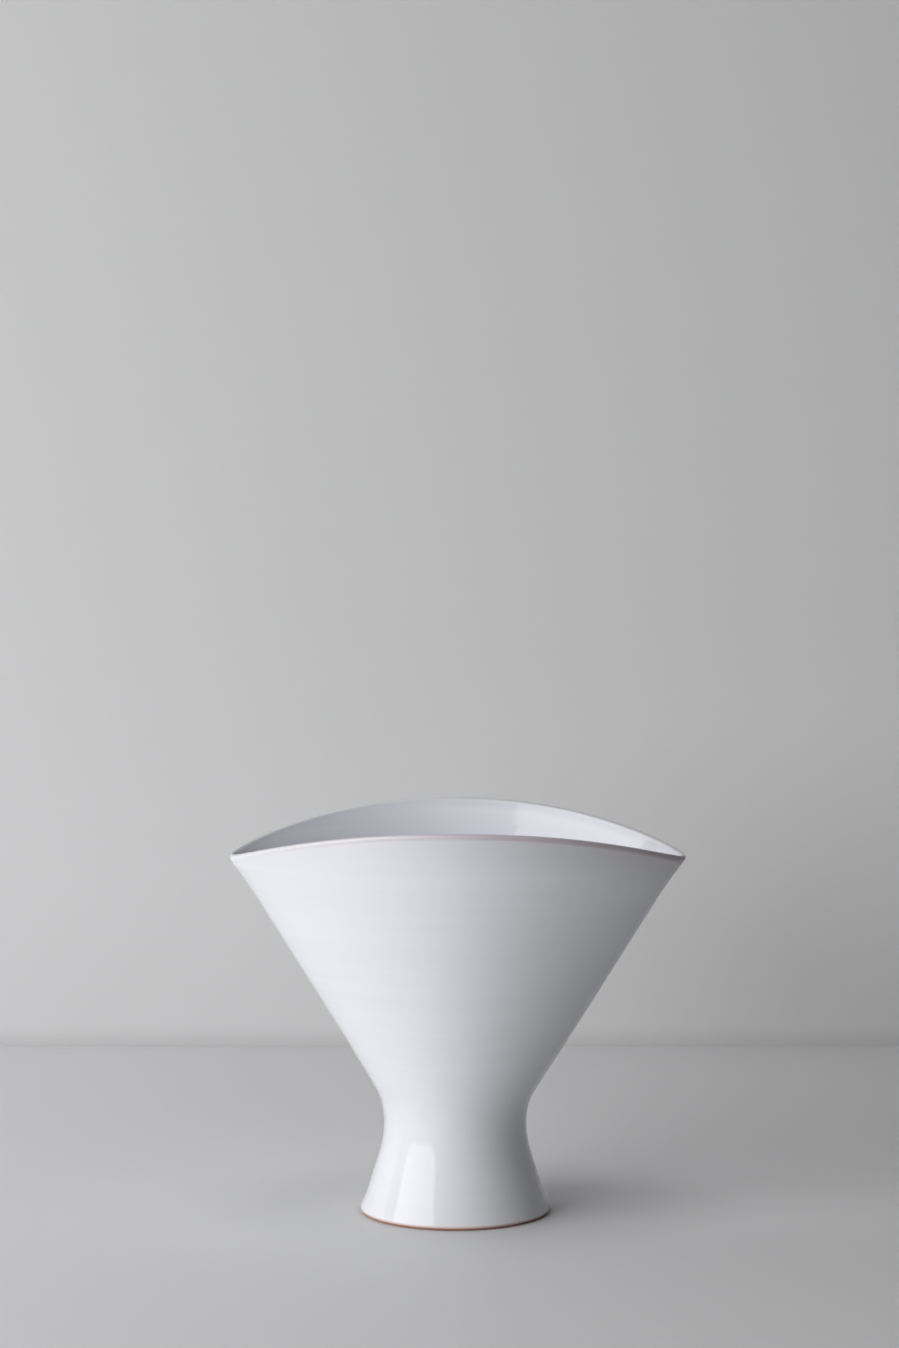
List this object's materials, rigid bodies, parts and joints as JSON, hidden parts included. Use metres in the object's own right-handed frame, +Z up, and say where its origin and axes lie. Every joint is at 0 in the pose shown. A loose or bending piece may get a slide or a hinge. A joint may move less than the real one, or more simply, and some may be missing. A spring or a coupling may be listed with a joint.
{
  "type": "fan vase",
  "caption": "Fan-shaped pottery vase with a round flared foot, a narrow waist and a conical bowl whose mouth is squeezed into a pointed oval.",
  "frame": {"origin": "centre of the circle on which the foot stands, at table level", "axes": "+Z up, +X along the long axis of the mouth, +Y from front to back"},
  "size_m": [0.2314, 0.1494, 0.202],
  "materials": {
    "red_clay": "bare fired red earthenware, matt, fine sandy tooth",
    "fired_slip": "fired joining slip, matt, hidden by the glaze",
    "white_glaze": "glossy, slightly bluish white glaze, breaking thin over the clay at its edges"
  },
  "bodies": {
    "root": {"bowl_body": "red_clay", "foot_body": "red_clay", "joining_slip": "fired_slip", "outer_glaze": "white_glaze", "inner_glaze": "white_glaze"}
  },
  "joints": []
}
